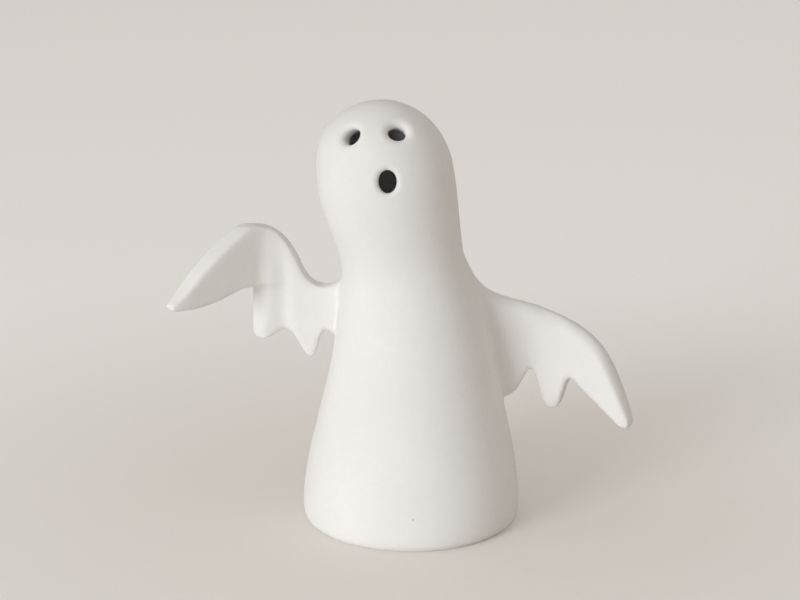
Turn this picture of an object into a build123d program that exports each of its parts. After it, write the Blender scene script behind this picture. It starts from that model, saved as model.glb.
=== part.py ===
from build123d import *
import os
from math import cos, radians, sin

# A hollow cast ceramic ghost that stands on its open hem. The two arms are cast apart, pared to the
# body's flank and luted on with slip. Millimetres, +Z up, the face looks along -Y, origin at the
# centre of the foot.

# Body: overall height, wall, and the radius of each ring with its rise above the ring below
HEIGHT = 160.2
WALL = 5.0
FOOT_RADIUS = 38.9
HEM_RADIUS = 40.8
HEM_RISE = 6.4
SKIRT_RADIUS = 37.9
SKIRT_RISE = 22.4
WAIST_RADIUS = 29.9
WAIST_RISE = 36.1
NECK_RADIUS = 22.9
NECK_RISE = 36.0
HEAD_RADIUS = 25.6
HEAD_SWAY = -9.7
WAIST_SWAY = 0.6

HEM_HEIGHT = HEM_RISE
SKIRT_HEIGHT = HEM_HEIGHT + SKIRT_RISE
WAIST_HEIGHT = SKIRT_HEIGHT + WAIST_RISE
NECK_HEIGHT = WAIST_HEIGHT + NECK_RISE
HEAD_HEIGHT = HEIGHT - HEAD_RADIUS
HEAD_RISE = HEAD_HEIGHT - NECK_HEIGHT

# Face: two eyes and a mouth cut through the wall, their rims wiped soft
EYE_WIDTH = 6.9
EYE_TALL = 6.6
MOUTH_WIDTH = 7.0
MOUTH_TALL = 9.2
RIM_SOFT = 1.5

# Arms: one thick sheet each, set a little behind the body's middle and bent forwards at the elbow
SHEET = 9.0
HEM_THIN = 0.8
PLEAT = 1.4
SHOULDER_RISE = 25.1
SHOULDER_DEPTH = 4.0
SHOULDER_HEIGHT = WAIST_HEIGHT + SHOULDER_RISE
RAISED_REACH = 102.0
RAISED_ELBOW = 55.0
RAISED_TURN_DEG = 176.0
RAISED_BEND_DEG = 48.0
RAISED_ELBOW_ROUND = 15.0
LOWERED_REACH = 87.4
LOWERED_ELBOW = 62.0
LOWERED_TURN_DEG = 4.0
LOWERED_BEND_DEG = -42.0
LOWERED_ELBOW_ROUND = 30.0

# Sleeve slices: distance out, top edge and bottom edge above the shoulder, all in hundredths of the
# reach, and the thickness as a share of the sheet
RAISED_SLEEVE = [
    (15.6, 7.8, -29.3, 1.9), (24.3, 2.9, -23.5, 1.45), (30.2, 0.2, -19.6, 1.18), (34.6, 1.1, -18.2, 1.08),
    (41.9, 13.3, -17, 1.02), (46.7, 19, -16.2, 1), (53.1, 22.5, -13.4, 1), (59.4, 22.7, -6.9, 1),
    (65.6, 20.9, -2.8, 0.99), (70.7, 18.6, -2.8, 0.96), (77.6, 15.3, -3.6, 0.92), (85.4, 11, -3.9, 0.86),
    (93.1, 6.1, -3.3, 0.77), (97.4, 3.5, -2.2, 0.55), (99.4, 2.1, -1, 0.28), (100, 0.7, 0.7, 0),
]
LOWERED_SLEEVE = [
    (14, 26, -61.8, 2.2), (21, 15.6, -58.3, 1.95), (23.5, 9.6, -57, 1.8), (26, 5.4, -55.6, 1.66),
    (29.5, 1.9, -54, 1.5), (36, -2.2, -52.1, 1.28),
    (42, -4.8, -50.6, 1.15), (46, -6.3, -46.7, 1.08), (50, -7.7, -40.3, 1.04), (55, -9.7, -38.9, 1.02),
    (62, -12.7, -40.3, 1), (69, -15.8, -42.8, 1), (74, -18.1, -46.5, 1), (79, -20.5, -50.6, 0.98),
    (84, -23.8, -54.2, 0.96), (88.5, -29.1, -57.2, 0.93), (93, -36.4, -59.5, 0.87),
    (96.2, -42.8, -60.6, 0.76), (98.5, -49, -59.8, 0.52), (99.6, -53.3, -57.8, 0.26), (100, -55.6, -55.6, 0),
]

# Tatters, in hundredths of the reach: distance out at root and tip, height of root and tip, width;
# then the bluntness of the tip
RAISED_TATTERS = [
    (38.7, 37.8, -9.7, -26.7, 13.6, 0.65),
    (52.8, 54.9, -3.6, -21.1, 12.3, 0.5),
]
LOWERED_TATTERS = [
    (61.2, 61.6, -29.7, -56, 13.7, 0.6),
]


def body_form(inset, start):
    """The body's closed form from the height start to the crown, drawn in by inset all over."""
    rings = [
        (0, start, FOOT_RADIUS - inset),
        (0, HEM_HEIGHT / 4, (FOOT_RADIUS + 2 * HEM_RADIUS) / 3 - inset),
        (0, HEM_HEIGHT, HEM_RADIUS - inset),
        (0.5 * WAIST_SWAY, SKIRT_HEIGHT, SKIRT_RADIUS - inset),
        (WAIST_SWAY, (SKIRT_HEIGHT + WAIST_HEIGHT) / 2, 0.49 * SKIRT_RADIUS + 0.51 * WAIST_RADIUS - inset),
        (WAIST_SWAY, WAIST_HEIGHT, WAIST_RADIUS - inset),
        (0.06 * HEAD_SWAY, WAIST_HEIGHT + NECK_RISE / 2, 0.48 * WAIST_RADIUS + 0.52 * NECK_RADIUS - inset),
        (0.33 * HEAD_SWAY, NECK_HEIGHT, NECK_RADIUS - inset),
        (0.62 * HEAD_SWAY, NECK_HEIGHT + 0.35 * HEAD_RISE, 0.5 * NECK_RADIUS + 0.493 * HEAD_RADIUS - inset),
        (0.84 * HEAD_SWAY, NECK_HEIGHT + 0.65 * HEAD_RISE, 0.985 * HEAD_RADIUS - inset),
        (0.96 * HEAD_SWAY, NECK_HEIGHT + 0.92 * HEAD_RISE, HEAD_RADIUS - inset),
    ]
    ball = HEAD_RADIUS - inset
    for lift in (12, 28, 44, 60, 76):
        rings.append((HEAD_SWAY, HEAD_HEIGHT + ball * sin(radians(lift)), ball * cos(radians(lift))))
    with BuildPart() as form:
        sections = []
        for sway, height, radius in rings:
            with BuildSketch(Plane((sway, 0, height))) as ring:
                Circle(radius)
            sections.append(ring.sketch.face())
        loft(sections=[*sections, Vertex(HEAD_SWAY, 0, HEAD_HEIGHT + ball)])
    return form.part


def face_hole(turn, lift, cutter_turn, cutter_lift, width, tall):
    """Cutter for one hole of the face: where it leaves the skin, and which way the cutter points."""
    skin = Vector(0, -1, 0).rotate(Axis.X, -lift).rotate(Axis.Z, turn)
    aim = Vector(0, -1, 0).rotate(Axis.X, -cutter_lift).rotate(Axis.Z, cutter_turn)
    start = Vector(HEAD_SWAY, 0, HEAD_HEIGHT) + skin * HEAD_RADIUS - aim * 2.2 * WALL
    with BuildPart() as cutter:
        with BuildSketch(Plane(origin=start, x_dir=Vector(0, 0, 1).cross(aim), z_dir=aim)):
            Ellipse(width / 2, tall / 2)
        extrude(amount=4 * WALL)
    return cutter.part


def sheet_outline(thick, tall):
    """Twelve points round a slice of the sheet: flat faces, rounded edges, thinner towards the hem."""
    points = []
    for step in range(12):
        across = sin(radians(30 * step))
        upward = -cos(radians(30 * step))
        thin = 1 - (1 - HEM_THIN) * max(0, -upward)
        points.append((
            thick / 2 * thin * abs(across) ** 0.5 * (1 if across > 0 else -1),
            tall / 2 * abs(upward) ** 0.6 * (1 if upward > 0 else -1),
        ))
    return points


def arm_form(turn, bend, elbow_out, reach, elbow_round, sleeve, tatters):
    """One arm, its root running on into the body."""
    root = Vector(0, SHOULDER_DEPTH, SHOULDER_HEIGHT)
    elbow = root + Vector(cos(radians(turn)), sin(radians(turn)), 0) * elbow_out
    past_tip = elbow + Vector(cos(radians(turn + bend)), sin(radians(turn + bend)), 0) * reach
    with BuildLine() as path:
        FilletPolyline(root, elbow, past_tip, radius=elbow_round)
    run = path.wire()
    unit = reach / 100

    def at(out):
        return run.position_at(out * unit, position_mode=PositionMode.LENGTH)

    def heading(out):
        return run.tangent_at(out * unit, position_mode=PositionMode.LENGTH)

    with BuildPart() as arm:
        sections = []
        for out, top, bottom, thick in sleeve[:-1]:
            middle = at(out) + Vector(0, 0, (top + bottom) / 2 * unit)
            along = heading(out)
            with BuildSketch(Plane(origin=middle, x_dir=(-along.Y, along.X, 0), z_dir=along)) as cut:
                with BuildLine():
                    Spline(*sheet_outline(thick * SHEET, (top - bottom) * unit), periodic=True)
                make_face()
            sections.append(cut.sketch.face())
        end = at(100) + Vector(0, 0, sleeve[-1][1] * unit)
        loft(sections=[*sections, Vertex(*end)])
        for root_out, tip_out, root_height, tip_height, width, blunt in tatters:
            sections = []
            front = PLEAT * (1 if run.tangent_at(0).X > 0 else -1)
            for fall in (0, 0.3, 0.55, 0.75, 0.88, 0.95, 0.985):
                out = root_out + (tip_out - root_out) * fall
                middle = at(out) + Vector(0, 0, (root_height + (tip_height - root_height) * fall) * unit)
                middle += Vector(heading(out).Y, -heading(out).X, 0) * front * fall
                taper = (1 - fall ** 3) ** blunt
                deep = 0.95 * SHEET / 2 * taper * min(1, 0.6 + 0.5 * fall)
                with BuildSketch(Plane(origin=middle, x_dir=heading(out), z_dir=(0, 0, 1))) as cut:
                    Ellipse(width * unit / 2 * taper * min(1, 0.7 + fall), deep)
                sections.append(cut.sketch.face())
            end = at(tip_out) + Vector(0, 0, tip_height * unit)
            end += Vector(heading(tip_out).Y, -heading(tip_out).X, 0) * front
            loft(sections=[*sections, Vertex(*end)])
    return arm.part


outside = body_form(0, 0)
inside = body_form(WALL, -0.2 * WALL)

with BuildPart() as body_shell:
    add(outside)
    add(inside, mode=Mode.SUBTRACT)
    add(face_hole(-38, 39.6, -40, 25, EYE_WIDTH, EYE_TALL), mode=Mode.SUBTRACT)
    add(face_hole(14.6, 45.9, 8, 35, EYE_WIDTH, EYE_TALL), mode=Mode.SUBTRACT)
    add(face_hole(1.8, 5.9, -5, 15, MOUTH_WIDTH, MOUTH_TALL), mode=Mode.SUBTRACT)
    crown = Vector(HEAD_SWAY, 0, HEAD_HEIGHT)
    high = body_shell.edges().filter_by(lambda edge: edge.center().Z > NECK_HEIGHT)
    rims = high.filter_by(lambda edge: (edge.center() - crown).length > HEAD_RADIUS - 0.3 * WALL)
    fillet(rims, RIM_SOFT)
body_shell.part.label = "body_shell"

with BuildPart() as raised_arm:
    add(arm_form(RAISED_TURN_DEG, RAISED_BEND_DEG, RAISED_ELBOW, RAISED_REACH, RAISED_ELBOW_ROUND,
                 RAISED_SLEEVE, RAISED_TATTERS))
    add(outside, mode=Mode.SUBTRACT)
raised_arm.part.label = "raised_arm"

with BuildPart() as lowered_arm:
    add(arm_form(LOWERED_TURN_DEG, LOWERED_BEND_DEG, LOWERED_ELBOW, LOWERED_REACH, LOWERED_ELBOW_ROUND,
                 LOWERED_SLEEVE, LOWERED_TATTERS))
    add(outside, mode=Mode.SUBTRACT)
lowered_arm.part.label = "lowered_arm"

os.makedirs("parts", exist_ok=True)
export_step(body_shell.part, "parts/body_shell.step")
export_step(raised_arm.part, "parts/raised_arm.step")
export_step(lowered_arm.part, "parts/lowered_arm.step")
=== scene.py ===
import math

import bmesh
import bpy
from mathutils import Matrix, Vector, noise
from mathutils.bvhtree import BVHTree


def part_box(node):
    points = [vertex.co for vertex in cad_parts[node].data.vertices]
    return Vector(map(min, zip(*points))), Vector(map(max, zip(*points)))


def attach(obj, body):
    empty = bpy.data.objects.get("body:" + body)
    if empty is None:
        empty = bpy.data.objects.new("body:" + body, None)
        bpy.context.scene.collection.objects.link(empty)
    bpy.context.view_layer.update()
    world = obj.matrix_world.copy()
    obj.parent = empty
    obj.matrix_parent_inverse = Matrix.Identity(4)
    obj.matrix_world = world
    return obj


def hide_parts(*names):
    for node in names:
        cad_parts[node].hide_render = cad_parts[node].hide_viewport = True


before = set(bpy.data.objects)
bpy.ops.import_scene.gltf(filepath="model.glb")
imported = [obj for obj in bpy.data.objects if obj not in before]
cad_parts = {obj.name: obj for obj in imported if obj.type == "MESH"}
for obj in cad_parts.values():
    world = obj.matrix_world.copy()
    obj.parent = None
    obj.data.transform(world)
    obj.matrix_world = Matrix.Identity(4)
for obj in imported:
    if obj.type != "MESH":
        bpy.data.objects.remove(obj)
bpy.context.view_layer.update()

# Body and head: one hollow casting of white earthenware, poured as slip into a plaster mould, drained
# to an even wall and fired once without glaze. It stands on the open ring of its hem. Eyes and mouth
# are cut through the damp wall, and a wet sponge leaves their rims soft.
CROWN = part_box("body_shell")[1].z
HEAD_HEIGHT = 0.1346
HEAD_RADIUS = CROWN - HEAD_HEIGHT
WALL = 0.005
FOOT_ROUND = 0.0009
FOOT_ANGLES = (0, 25, 50, 70)
NOD, NOD_FROM, NOD_TO = 0.0015, 0.132, 0.152
SLIM, SLIM_HEIGHT, SLIM_REACH = 0.0197, 0.139, 0.014
BODY_TURNS = 192
ROW = 0.00115
DOME_FROM, DOME_ROWS = 8, 44
PROFILE_EASE = 4
ABOVE_FOOT = 0.00003
BESIDE_MOULD = 0.2
MERGE = 1e-5

mould = bmesh.new()
mould.from_mesh(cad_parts["body_shell"].data)
bmesh.ops.remove_doubles(mould, verts=mould.verts, dist=MERGE)
mould_skin = BVHTree.FromBMesh(mould)
mould.free()


def wall_at(height):
    """Radius and sideways lean of the mould at a height."""
    left = mould_skin.ray_cast(Vector((-BESIDE_MOULD, 0, height)), Vector((1, 0, 0)))[0].x
    right = mould_skin.ray_cast(Vector((BESIDE_MOULD, 0, height)), Vector((-1, 0, 0)))[0].x
    return (right - left) / 2, (right + left) / 2


def eased(values, times):
    """A row of values with its steps worn down and its two ends kept."""
    for _ in range(times):
        middle = [(a + 2 * b + c) / 4 for a, b, c in zip(values, values[1:], values[2:])]
        values = [values[0], *middle, values[-1]]
    return values


def ramp(value, low, high):
    share = min(max((value - low) / (high - low), 0), 1)
    return share * share * (3 - 2 * share)


def along(table, place):
    """The value at a place in a table of places and values, straight from one entry to the next."""
    for (a, one), (b, two) in zip(table, table[1:]):
        if place <= b:
            return one + (two - one) * max(0, place - a) / (b - a)
    return table[-1][1]


def dome(radius):
    angles = [math.radians(DOME_FROM + (90 - DOME_FROM) * i / DOME_ROWS) for i in range(DOME_ROWS)]
    rounded = [(radius * math.cos(a), HEAD_HEIGHT + radius * math.sin(a)) for a in angles]
    return [*rounded, (0.0, HEAD_HEIGHT + radius)]


def rounded_foot(radius):
    angles = [math.radians(a) for a in FOOT_ANGLES]
    return [(radius - FOOT_ROUND * (1 - math.sin(a)), FOOT_ROUND * (1 - math.cos(a))) for a in angles]


dome_start = dome(HEAD_RADIUS)[0][1]
rows = math.ceil(dome_start / ROW)
heights = [dome_start * i / rows for i in range(rows)]
walls = [wall_at(max(z, ABOVE_FOOT)) for z in heights]
radii, leans = (eased(values, PROFILE_EASE) for values in zip(*walls))
head_lean = wall_at(HEAD_HEIGHT)[1]
lean_table = [*zip(heights, leans), (dome_start, head_lean)]

outside = [*rounded_foot(radii[0]), *list(zip(radii, heights))[1:], *dome(HEAD_RADIUS)]
inside = [(r - WALL, z) for r, z in zip(radii, heights)] + dome(HEAD_RADIUS - WALL)


def thrown(profile, turns):
    """A profile of radius and height turned round, leant like the mould, its head slimmed and nodded."""
    form = bmesh.new()
    line = [form.verts.new((r, 0, z)) for r, z in profile]
    for a, b in zip(line, line[1:]):
        form.edges.new((a, b))
    bmesh.ops.spin(form, geom=form.verts[:] + form.edges[:], cent=(0, 0, 0), axis=(0, 0, 1),
                   angle=math.tau, steps=turns, use_merge=True)
    bmesh.ops.remove_doubles(form, verts=form.verts, dist=MERGE)
    for v in form.verts:
        slim = 1 - SLIM * (1 - ramp(abs(v.co.z - SLIM_HEIGHT), 0, SLIM_REACH))
        lean = along(lean_table, v.co.z) - NOD * ramp(v.co.z, NOD_FROM, NOD_TO)
        v.co = (v.co.x * slim + lean, v.co.y * slim, v.co.z)
    bmesh.ops.recalc_face_normals(form, faces=form.faces)
    return form


casting = thrown(outside[::-1] + inside, BODY_TURNS)
casting_skin = BVHTree.FromBMesh(casting)
head = Vector((head_lean, 0, HEAD_HEIGHT))

RIM_POINTS = 72
RIM_STEPS = (0.15, 0.3, 0.45, 0.6, 0.75, 0.88, 1)
RIM_FLATTENED = 0.25
LINING_STEPS = (0.4, 0.8, 1)
FLARE = 0.0003
TRIMMED = 0.0004
BEFORE_SKIN, BELOW_SKIN = 0.02, 0.001
DIGITS = 9


def facing(turn, lift):
    """The direction that lies a turn and a lift, in degrees, away from straight ahead."""
    turn, lift = math.radians(turn), math.radians(lift)
    level = math.cos(lift)
    return Vector((math.sin(turn) * level, -math.cos(turn) * level, math.sin(lift)))


def is_skin(v):
    return (v.co - head).length > HEAD_RADIUS - WALL / 2


class Hole:
    """A hole cut in the head: its middle and the way of the cut, each a turn and a lift, and its sizes."""

    def __init__(self, middle, cut, width, tall, soft):
        self.centre = head + facing(*middle) * HEAD_RADIUS
        self.aim = facing(*cut)
        self.side = Vector((0, 0, 1)).cross(self.aim).normalized()
        self.up = self.aim.cross(self.side)
        self.width, self.tall, self.soft = width, tall, soft

    def within(self, v, grown):
        gap = v.co - self.centre
        across = gap.dot(self.side) / (self.width / 2 + grown)
        upward = gap.dot(self.up) / (self.tall / 2 + grown)
        return math.hypot(across, upward) < 1

    def on_skin(self, x, y, grown):
        across = self.side * x * (self.width / 2 + grown)
        upward = self.up * y * (self.tall / 2 + grown)
        return casting_skin.ray_cast(self.centre + across + upward + self.aim * BEFORE_SKIN, -self.aim)[0]

    def on_rim(self, x, y, share):
        start, corner = self.on_skin(x, y, self.soft), self.on_skin(x, y, 0)
        end = corner - self.aim * self.soft
        corner = corner.lerp((start + end) / 2, RIM_FLATTENED)
        return start * (1 - share) ** 2 + corner * 2 * share * (1 - share) + end * share ** 2

    def on_lining(self, x, y, share):
        flare = self.on_skin(x, y, FLARE) - self.aim * BELOW_SKIN
        return self.on_rim(x, y, 1).lerp(casting_skin.ray_cast(flare, -self.aim)[0], share)

    def opened(self):
        """Takes out the clay, and returns the edges left round the skin and round the lining."""
        near = [v for v in casting.verts if (v.co - head).dot(self.aim) > 0]
        clay = [v for v in near if is_skin(v) and self.within(v, self.soft + TRIMMED)]
        clay += [v for v in near if not is_skin(v) and self.within(v, FLARE + TRIMMED)]
        bmesh.ops.delete(casting, geom=clay, context="VERTS")
        edges = [e for e in casting.edges if e.is_boundary]
        skin_edge = [e for e in edges if is_skin(e.verts[0])]
        lining_edge = [e for e in edges if not is_skin(e.verts[0])]
        return skin_edge, lining_edge

    def pierce(self):
        """Draws a soft rim in from the skin and on through the wall to the lining."""
        skin_edge, lining_edge = self.opened()
        rim = bmesh.ops.create_circle(casting, segments=RIM_POINTS, radius=1)["verts"]
        angles = [math.tau * i / RIM_POINTS for i in range(RIM_POINTS)]
        turns = [(math.cos(a), math.sin(a)) for a in angles]
        for v, (x, y) in zip(rim, turns):
            v.co = self.on_rim(x, y, 0)
        loop = list(dict.fromkeys(e for v in rim for e in v.link_edges))
        bmesh.ops.bridge_loops(casting, edges=skin_edge + loop)
        steps = [(self.on_rim, share) for share in RIM_STEPS]
        steps += [(self.on_lining, share) for share in LINING_STEPS]
        for place, share in steps:
            was = {v.co.to_tuple(DIGITS): turn for v, turn in zip(rim, turns)}
            drawn = bmesh.ops.extrude_edge_only(casting, edges=loop)["geom"]
            rim = [v for v in drawn if isinstance(v, bmesh.types.BMVert)]
            turns = [was[v.co.to_tuple(DIGITS)] for v in rim]
            fresh = set(rim)
            loop = [e for e in drawn if isinstance(e, bmesh.types.BMEdge) and set(e.verts) <= fresh]
            for v, (x, y) in zip(rim, turns):
                v.co = place(x, y, share)
        bmesh.ops.bridge_loops(casting, edges=loop + lining_edge)


Hole(middle=(-39.8, 39.6), cut=(-42, 25), width=0.0064, tall=0.0062, soft=0.0027).pierce()
Hole(middle=(15.2, 46.3), cut=(8, 35), width=0.0065, tall=0.0057, soft=0.003).pierce()
Hole(middle=(1.6, 4.6), cut=(-5, 15), width=0.0065, tall=0.0083, soft=0.002).pierce()

WAVES_PER_METRE, WAVE_DEPTH = 34, 0.00014
LEVEL_FOOT = 0.012
WIPE_SEED = 5


def wipe_by_hand(form):
    """Leaves the slight waves of a wiping hand, which fade out at the foot so that it stands level."""
    for v in form.verts:
        v.co += noise.noise_vector(v.co * WAVES_PER_METRE) * WAVE_DEPTH * min(1, v.co.z / LEVEL_FOOT)


noise.seed_set(WIPE_SEED)
wipe_by_hand(casting)
bmesh.ops.recalc_face_normals(casting, faces=casting.faces)


class Shade:
    """A socket of a finish, so that its sums read as plain arithmetic."""

    def __init__(self, tree, socket=None):
        self.tree, self.socket = tree, socket

    def add(self, kind, settings, values, take=0):
        made = self.tree.nodes.new(kind)
        for key, value in settings.items():
            setattr(made, key, value)
        for key, value in values.items():
            if isinstance(value, Shade):
                self.tree.links.new(value.socket, made.inputs[key])
            else:
                made.inputs[key].default_value = value
        return Shade(self.tree, made.outputs[take])

    def sums(self, operation, one, two):
        return self.add("ShaderNodeMath", {"operation": operation}, {0: one, 1: two})

    def __add__(self, other):
        return self.sums("ADD", self, other)

    def __radd__(self, other):
        return self.sums("ADD", other, self)

    def __sub__(self, other):
        return self.sums("SUBTRACT", self, other)

    def __rsub__(self, other):
        return self.sums("SUBTRACT", other, self)

    def __mul__(self, other):
        return self.sums("MULTIPLY", self, other)

    def __rmul__(self, other):
        return self.sums("MULTIPLY", other, self)


def cloud(place, scale, detail, rough):
    return place.add("ShaderNodeTexNoise", {},
                     {"Vector": place, "Scale": scale, "Detail": detail, "Roughness": rough})


def fade(value, low, high):
    return value.add("ShaderNodeMapRange", {"interpolation_type": "SMOOTHSTEP"},
                     {"Value": value, "From Min": low, "From Max": high})


def blend(share, one, two):
    return share.add("ShaderNodeMix", {"data_type": "RGBA"}, {0: share, 6: one, 7: two}, 2)


CLAY_DULL, CLAY_BRIGHT = (0.842, 0.828, 0.804, 1), (0.876, 0.864, 0.844, 1)
TONE_LOW, TONE_HIGH = 0.34, 0.66
IRON_BROWN = (0.42, 0.37, 0.32, 1)
IRON_PLACE = (0.0007, -0.0404, 0.0134)
IRON_FROM, IRON_TO, IRON_RAGGED, IRON_STRENGTH = 0.0003, 0.00055, 0.0002, 0.7
DRY, DRY_SPREAD = 0.76, 0.16
SHEEN = 0.25
TOOTH_DEPTH, TOOTH_STRENGTH = 0.0001, 0.3


def bisque_finish():
    finish = bpy.data.materials.new("white_bisque")
    finish.use_nodes = True
    tree = finish.node_tree
    shader = tree.nodes["Principled BSDF"]
    place = Shade(tree).add("ShaderNodeTexCoord", {}, {}, "Object")
    drift = cloud(place, scale=24, detail=3, rough=0.5)
    dust = cloud(place, scale=420, detail=4, rough=0.6)
    grain = cloud(place, scale=1500, detail=3, rough=0.6)
    tone = fade(drift * 0.72 + dust * 0.28, TONE_LOW, TONE_HIGH)
    clay = blend(tone, CLAY_DULL, CLAY_BRIGHT)

    away = place.add("ShaderNodeVectorMath", {"operation": "DISTANCE"}, {0: place, 1: IRON_PLACE}, "Value")
    iron = 1 - fade(away + dust * IRON_RAGGED, IRON_FROM, IRON_TO)
    colour = blend(iron * IRON_STRENGTH, clay, IRON_BROWN)

    dry = DRY + DRY_SPREAD * dust
    tooth = grain * 0.4 + dust * 0.9 + drift * 2
    bump = tooth.add("ShaderNodeBump", {},
                     {"Strength": TOOTH_STRENGTH, "Distance": TOOTH_DEPTH, "Height": tooth})
    shader.inputs["Specular IOR Level"].default_value = SHEEN
    for name, shade in (("Base Color", colour), ("Roughness", dry), ("Normal", bump)):
        tree.links.new(shade.socket, shader.inputs[name])
    return finish


white_bisque = bisque_finish()
CREASE = math.radians(42)


def fired(form, name, node):
    """Makes a finished piece of a form, in place of its plain solid."""
    for f in form.faces:
        f.smooth = True
    for e in form.edges:
        e.smooth = e.calc_face_angle(0) < CREASE
    mesh = bpy.data.meshes.new(name)
    form.to_mesh(mesh)
    form.free()
    mesh.materials.append(white_bisque)
    piece = bpy.data.objects.new(name, mesh)
    bpy.context.scene.collection.objects.link(piece)
    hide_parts(node)
    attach(piece, "root")


fired(casting, "ghost_body", "body_shell")

# Arms: two thick sleeves of the same clay, cut from a rolled slab, one bent up and one let down, with
# tatters along the lower edge. Each is scored, stuck to the flank with slip while damp, and the joint is
# drawn smooth with a wet brush, so that shoulder and body run into each other.
MM = 0.001
SHOULDER_LOW, SHOULDER_HIGH = 0.028, 0.122
CORE_TURNS = 160
SLAB_BACK = 0.004
COLUMN_MM, ACROSS = 0.3, 56
TOP_EASE, HEM_EASE, THICK_EASE, FOLD_EASE, BEND_EASE = 36, 8, 14, 20, 20
HEM_RIM, RIM_POWER = 0.7, 8
BACK_AT_HEM, BACK_FULL_FROM = 0.25, 0.45
FOLD_POWER = 1.2

flank = [p for p in outside if SHOULDER_LOW < p[1] < SHOULDER_HIGH]
core = thrown([(0.0, flank[0][1]), *flank, (0.0, flank[-1][1])], CORE_TURNS)
core_skin = BVHTree.FromBMesh(core)


def slab(turn, bend, bow, top, hem, thick, fold, top_rim, hang):
    """A sleeve set in the core. Its tables are in mm, by the distance out from the body's middle."""
    start, tip = top[0][0], top[-1][0]
    columns = round((tip - start) / COLUMN_MM)
    outs = [start + (tip - start) * i / columns for i in range(columns + 1)]
    tables = ((top, TOP_EASE), (hem, HEM_EASE), (thick, THICK_EASE), (fold, FOLD_EASE))
    tops, hems, thicks, folds = (eased([along(table, out) for out in outs], times)
                                 for table, times in tables)
    bends = eased([bend * ramp(out, *bow) for out in outs], BEND_EASE)

    root = Vector((0, SLAB_BACK))
    straight = Vector((math.cos(math.radians(turn)), math.sin(math.radians(turn))))
    spots = [root + straight * start * MM]
    for heading in bends[1:]:
        way = math.radians(turn + heading)
        spots.append(spots[-1] + Vector((math.cos(way), math.sin(way))) * (tip - start) / columns * MM)

    sleeve = bmesh.new()
    bmesh.ops.create_grid(sleeve, x_segments=columns, y_segments=ACROSS, size=0.5)
    face = bmesh.ops.extrude_face_region(sleeve, geom=sleeve.faces[:])["geom"]
    face_verts = [v for v in face if isinstance(v, bmesh.types.BMVert)]
    bmesh.ops.translate(sleeve, verts=face_verts, vec=(0, 0, 1))
    for v in sleeve.verts:
        i = round((v.co.x + 0.5) * columns)
        rise = 0.5 - 0.5 * math.cos(math.pi * (v.co.y + 0.5))
        height = hems[i] + (tops[i] - hems[i]) * rise
        limp, swing = hang(outs[i], height)
        way = math.radians(turn + bends[i] * (1 - limp))
        front = Vector((math.sin(way), -math.cos(way)))
        front = front if front.y < 0 else -front
        spot = spots[i].lerp(root + straight * (outs[i] + swing) * MM, limp)
        rim = top_rim if rise > 0.5 else HEM_RIM
        off_middle = thicks[i] / 2 * (1 - (1 - rim) * abs(2 * rise - 1) ** RIM_POWER)
        if v.co.z < 0.5:
            off_middle *= -(BACK_AT_HEM + (1 - BACK_AT_HEM) * ramp(rise, 0, BACK_FULL_FROM))
        spot += front * (folds[i] * (1 - rise) ** FOLD_POWER + off_middle) * MM
        v.co = (spot.x, spot.y, height * MM)
    bmesh.ops.recalc_face_normals(sleeve, faces=sleeve.faces)
    loose = bpy.data.meshes.new("damp_sleeve")
    sleeve.to_mesh(loose)
    sleeve.free()
    core.from_mesh(loose)
    bpy.data.meshes.remove(loose)


CUFF_HEIGHT, CUFF_END = (87.5, 91.5), (59.6, 62)
SWING, SWING_HEIGHT, SWING_FROM = 0.12, 80, (48, 53)


def cuff_hang(out, height):
    """How far the cuff hangs straight below the bent forearm, and how far out it swings, in mm."""
    limp = (1 - ramp(height, *CUFF_HEIGHT)) * (1 - ramp(out, *CUFF_END))
    return limp, (SWING_HEIGHT - height) * SWING * ramp(out, *SWING_FROM)


def no_hang(out, height):
    return 0, 0


slab(turn=176, bend=50, bow=(41, 67),
     top=[(12, 101), (20, 95.5), (25, 91.8), (28.6, 89.6), (31.5, 88.8), (35.5, 89.2), (38, 91.2),
          (40.2, 94), (42.5, 99.8), (45.2, 104.6), (47.2, 107.1), (49.4, 109.3), (51.7, 111),
          (53.8, 111.9), (57, 112.6), (60.4, 113.2), (63, 113.3), (66, 112.6), (72, 109.7),
          (80, 105.4), (88, 99.9), (95, 94.3), (99, 91.7), (100.6, 90.8)],
     hem=[(12, 66), (29.4, 70.6), (31, 72.2), (32.8, 72), (34.2, 69), (35, 65.2), (35.8, 62.6),
          (36.7, 61.6), (38, 61.4), (39.1, 62.3), (41, 65.6), (43.3, 69.5), (45, 71.8), (47, 72.3),
          (48.9, 71.2), (51.5, 69.2), (53.6, 68.2), (55.4, 68.4), (57.2, 69.2), (58.4, 70.8),
          (58.8, 73.2), (59, 78), (59.2, 83), (59.8, 88.5), (62.2, 89.8), (65, 90.1), (67.7, 90.2),
          (71.7, 89.5), (78.2, 88.2), (84.6, 87.5), (91.1, 87.4), (99.6, 88.2), (100.6, 88.8)],
     thick=[(12, 6), (28, 7.6), (36, 8.6), (44, 9.2), (78, 8.8), (86, 8), (94, 7), (98, 5.6), (100.6, 4)],
     fold=[(12, 0), (33, 0), (37, 0.5), (41.5, 0.9), (44, 0.5), (47.2, -1.3), (53.2, 1.5), (59, -1.2),
           (61, -0.7), (63.5, 0)],
     top_rim=0.8, hang=cuff_hang)
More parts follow.
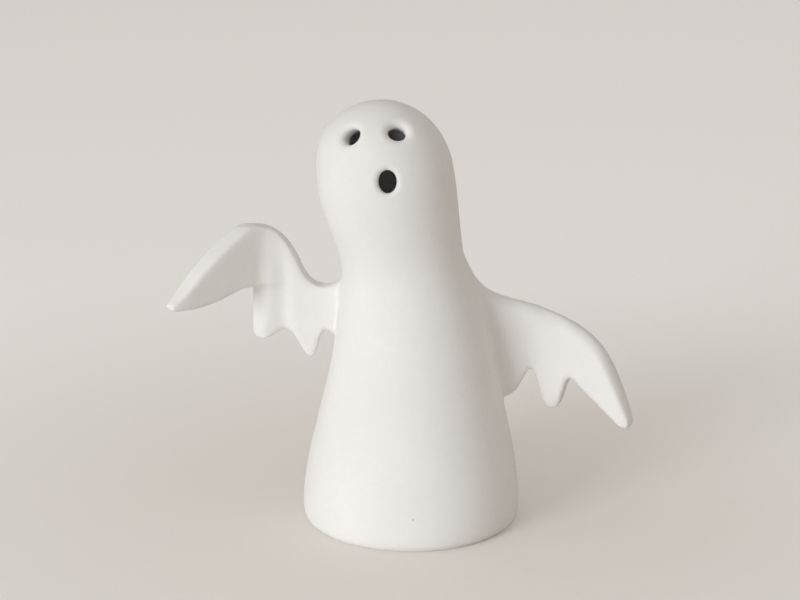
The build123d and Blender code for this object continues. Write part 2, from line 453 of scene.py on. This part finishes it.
slab(turn=4, bend=-42, bow=(36, 73),
     top=[(10, 116), (16, 109), (19.2, 102.4), (22.8, 94), (26.9, 88.7), (31.5, 86), (36.6, 83.9),
          (46.2, 81.2), (57, 77.3), (63, 74.7), (68, 72), (72, 69.2), (76, 65), (80, 58.5),
          (83.5, 51.5), (86, 46), (87, 43.4), (87.4, 42.2)],
     hem=[(10, 33), (27, 41), (33, 45), (34.9, 45.9), (37.5, 46.9), (39.6, 48.4), (41.8, 52.4),
          (44, 56.4), (45.7, 57.4), (47, 55), (49, 47.8), (50.6, 43.6), (52.6, 41.9), (55.2, 41.9),
          (57, 43.2), (58.4, 47), (59.6, 52), (61.2, 54.6), (63, 54.3), (67.4, 50.6), (74, 46.4),
          (80.1, 42), (83.8, 39.4), (86.2, 38.8), (87.4, 40)],
     thick=[(10, 20), (18.4, 17), (20.5, 15.7), (22.7, 14.5), (25.8, 13), (31.5, 11.2), (36.7, 10),
            (44, 9.1), (68, 8.6), (78, 8), (84, 6.6), (87.4, 4.6)],
     fold=[(10, 0), (44, 0), (47, 0.2), (53, 0.8), (59, 0.3), (63, 0)],
     top_rim=0.22, hang=no_hang)

# Core and sleeves become one lump of damp clay, so that sponge and brush can run over the joints.
VOXEL = 0.0005
damp = bpy.data.meshes.new("damp_clay")
core.to_mesh(damp)
core.free()
lump = bpy.data.objects.new("damp_clay", damp)
bpy.context.scene.collection.objects.link(lump)
knead = lump.modifiers.new("knead", "REMESH")
knead.mode = "VOXEL"
knead.voxel_size = VOXEL
joined = bmesh.new()
joined.from_object(lump, bpy.context.evaluated_depsgraph_get())
bpy.data.objects.remove(lump)
bpy.data.meshes.remove(damp)

FIRST_WIPE = 7
BRUSH_STROKES = ((0.013, 14), (0.0105, 18), (0.008, 24), (0.0055, 30), (0.003, 30))
WET_RAISED, WET_LOWERED = (0.083, 0.094), (0.064, 0.080)


def sponge(verts, times):
    for _ in range(times):
        bmesh.ops.smooth_vert(joined, verts=verts, factor=0.5,
                              use_axis_x=True, use_axis_y=True, use_axis_z=True)


def above_flank(v):
    """How high a point stands over the plain flank, and which way the flank faces there."""
    spot, away, _, _ = core_skin.find_nearest(v.co)
    return (v.co - spot).dot(away), away


def wet(v):
    return ramp(v.co.z, *(WET_RAISED if v.co.x < 0 else WET_LOWERED))


sponge(joined.verts, FIRST_WIPE)
gap = {v: above_flank(v)[0] for v in joined.verts}
for reach, times in BRUSH_STROKES:
    sponge([v for v in joined.verts if gap[v] < reach * wet(v)], times)

# The sponge also draws in the plain flank a little. How much is read at the front and back of the body,
# away from the arms, and given back, so that each arm's edge comes down level with the casting.
BAND = 0.003
PLAIN_HEIGHT, PLAIN_FACING = 0.001, 0.85
FEATHER_EDGE, FEATHER_REACH = 0.00004, 0.008

lie = {v: above_flank(v) for v in joined.verts}
bands = {}
for v, (height, away) in lie.items():
    if height < PLAIN_HEIGHT and abs(away.y) > PLAIN_FACING:
        bands.setdefault((v.co.x < 0, round(v.co.z / BAND)), []).append(height)
sunk = {band: sum(found) / len(found) for band, found in bands.items()}
feather, thin = [], []
for v, (height, away) in lie.items():
    band, share = divmod(v.co.z / BAND, 1)
    low, high = (sunk.get((v.co.x < 0, band + i), 0) for i in range(2))
    drawn_in = low + (high - low) * share
    if height - drawn_in < FEATHER_EDGE:
        thin.append(v)
    elif height < FEATHER_REACH:
        feather.append((v, away * -drawn_in * (1 - max(0, height) / FEATHER_REACH)))
for v, shift in feather:
    v.co += shift
bmesh.ops.delete(joined, geom=thin, context="VERTS")
bmesh.ops.delete(joined, geom=[v for v in joined.verts if not v.link_faces], context="VERTS")
wipe_by_hand(joined)

SKIRT = 0.0012


def trim_ragged_edge(arm):
    ragged = True
    while ragged:
        bare = [e for e in arm.edges if not e.link_faces]
        bmesh.ops.delete(arm, geom=bare, context="EDGES")
        ragged = [v for v in arm.verts if not v.link_faces or sum(e.is_boundary for e in v.link_edges) > 2]
        bmesh.ops.delete(arm, geom=ragged, context="VERTS")


def drop_crumbs(arm, tip):
    """Keeps only the clay that hangs together with the arm's tip."""
    kept, fresh = {tip}, [tip]
    while fresh:
        fresh = [w for v in fresh for e in v.link_edges for w in e.verts if w not in kept]
        fresh = list(dict.fromkeys(fresh))
        kept.update(fresh)
    bmesh.ops.delete(arm, geom=[v for v in arm.verts if v not in kept], context="VERTS")


def close_root(arm):
    """Turns the feather edge in under the body's skin and closes the root there."""
    skirt = bmesh.ops.extrude_edge_only(arm, edges=[e for e in arm.edges if e.is_boundary])["geom"]
    for v in skirt:
        if isinstance(v, bmesh.types.BMVert):
            spot, away, _, _ = core_skin.find_nearest(v.co)
            v.co = spot - away * SKIRT
    bmesh.ops.holes_fill(arm, edges=[e for e in arm.edges if e.is_boundary], sides=0)
    bmesh.ops.triangulate(arm, faces=[f for f in arm.faces if len(f.verts) > 4])
    bmesh.ops.recalc_face_normals(arm, faces=arm.faces)


for side, name, node in ((-1, "ghost_raised_arm", "raised_arm"), (1, "ghost_lowered_arm", "lowered_arm")):
    arm = joined.copy()
    bmesh.ops.delete(arm, geom=[v for v in arm.verts if v.co.x * side < 0], context="VERTS")
    trim_ragged_edge(arm)
    drop_crumbs(arm, max(arm.verts, key=lambda v: v.co.x * side))
    close_root(arm)
    fired(arm, name, node)
joined.free()

# Floor: a plain pale sheet with a matt face, laid flat under the figure and wide enough to fill the
# view. A faint haze that only the camera sees lifts its tone, more so further from the figure.
FLOOR_HALF = 4
FLOOR_COLOUR = (0.76, 0.73, 0.695, 1)
FLOOR_DRY, FLOOR_SHEEN = 0.9, 0.1
HAZE_NEAR, HAZE_FAR = (0.107, 0.103, 0.097, 1), (0.24, 0.242, 0.243, 1)
HAZE_FROM, HAZE_TO = 0.02, 0.36


def floor_finish():
    finish = bpy.data.materials.new("pale_floor")
    finish.use_nodes = True
    tree = finish.node_tree
    shader = tree.nodes["Principled BSDF"]
    shader.inputs["Base Color"].default_value = FLOOR_COLOUR
    shader.inputs["Roughness"].default_value = FLOOR_DRY
    shader.inputs["Specular IOR Level"].default_value = FLOOR_SHEEN
    matt = Shade(tree, shader.outputs[0])
    place = matt.add("ShaderNodeTexCoord", {}, {}, "Object")
    away = matt.add("ShaderNodeVectorMath", {"operation": "LENGTH"}, {0: place}, "Value")
    haze = blend(fade(away, HAZE_FROM, HAZE_TO), HAZE_NEAR, HAZE_FAR)
    glow = matt.add("ShaderNodeEmission", {}, {"Color": haze})
    lifted = matt.add("ShaderNodeAddShader", {}, {0: matt, 1: glow})
    seen = matt.add("ShaderNodeLightPath", {}, {}, "Is Camera Ray")
    coat = matt.add("ShaderNodeMixShader", {}, {0: seen, 1: matt, 2: lifted})
    tree.links.new(coat.socket, tree.nodes["Material Output"].inputs["Surface"])
    return finish


sheet = bmesh.new()
bmesh.ops.create_grid(sheet, x_segments=1, y_segments=1, size=FLOOR_HALF)
floor_mesh = bpy.data.meshes.new("pale_floor")
sheet.to_mesh(floor_mesh)
sheet.free()
floor_mesh.materials.append(floor_finish())
pale_floor = bpy.data.objects.new("pale_floor", floor_mesh)
bpy.context.scene.collection.objects.link(pale_floor)

# Light and camera: one broad soft lamp from the left, aimed low so that its beam fades upwards, a weak
# one overhead and a pale surround. The camera looks down at the figure from the front.
SURROUND_COLOUR, SURROUND_POWER = (1, 0.95, 0.89, 1), 0.49
EYE_PLACE = (0, -0.93, 0.36634)
EYE_DIP, EYE_TURN = 16.839, 0.258
EYE_LENS, EYE_FILM = 117.85, 36


def lamp(name, size, power, colour, place, aim, spread):
    light = bpy.data.lights.new(name, "AREA")
    light.shape = "RECTANGLE"
    light.size, light.size_y = size
    light.energy = power
    light.color = colour
    light.spread = math.radians(spread)
    stand = bpy.data.objects.new(name, light)
    bpy.context.scene.collection.objects.link(stand)
    stand.location = place
    stand.rotation_euler = (Vector(aim) - Vector(place)).to_track_quat("-Z", "Y").to_euler()


lamp("side_lamp", size=(1.15, 0.8), power=6.2, colour=(0.975, 1, 1.05),
     place=(-1.7, -2.02, 0.5), aim=(0, 0, -0.52), spread=60)
lamp("top_lamp", size=(1.6, 1.6), power=1.5, colour=(1, 0.97, 0.93),
     place=(0, 0, 1.7), aim=(0, 0, 0), spread=180)

surround = bpy.data.worlds.new("surround")
surround.use_nodes = True
backdrop = surround.node_tree.nodes["Background"]
backdrop.inputs["Color"].default_value = SURROUND_COLOUR
backdrop.inputs["Strength"].default_value = SURROUND_POWER
bpy.context.scene.world = surround

eye = bpy.data.cameras.new("eye")
eye.sensor_width, eye.lens = EYE_FILM, EYE_LENS
eye_at = bpy.data.objects.new("eye", eye)
bpy.context.scene.collection.objects.link(eye_at)
eye_at.location = EYE_PLACE
eye_at.rotation_euler = (math.radians(90 - EYE_DIP), 0, math.radians(EYE_TURN))
bpy.context.scene.camera = eye_at
bpy.context.scene.view_settings.view_transform = "Standard"
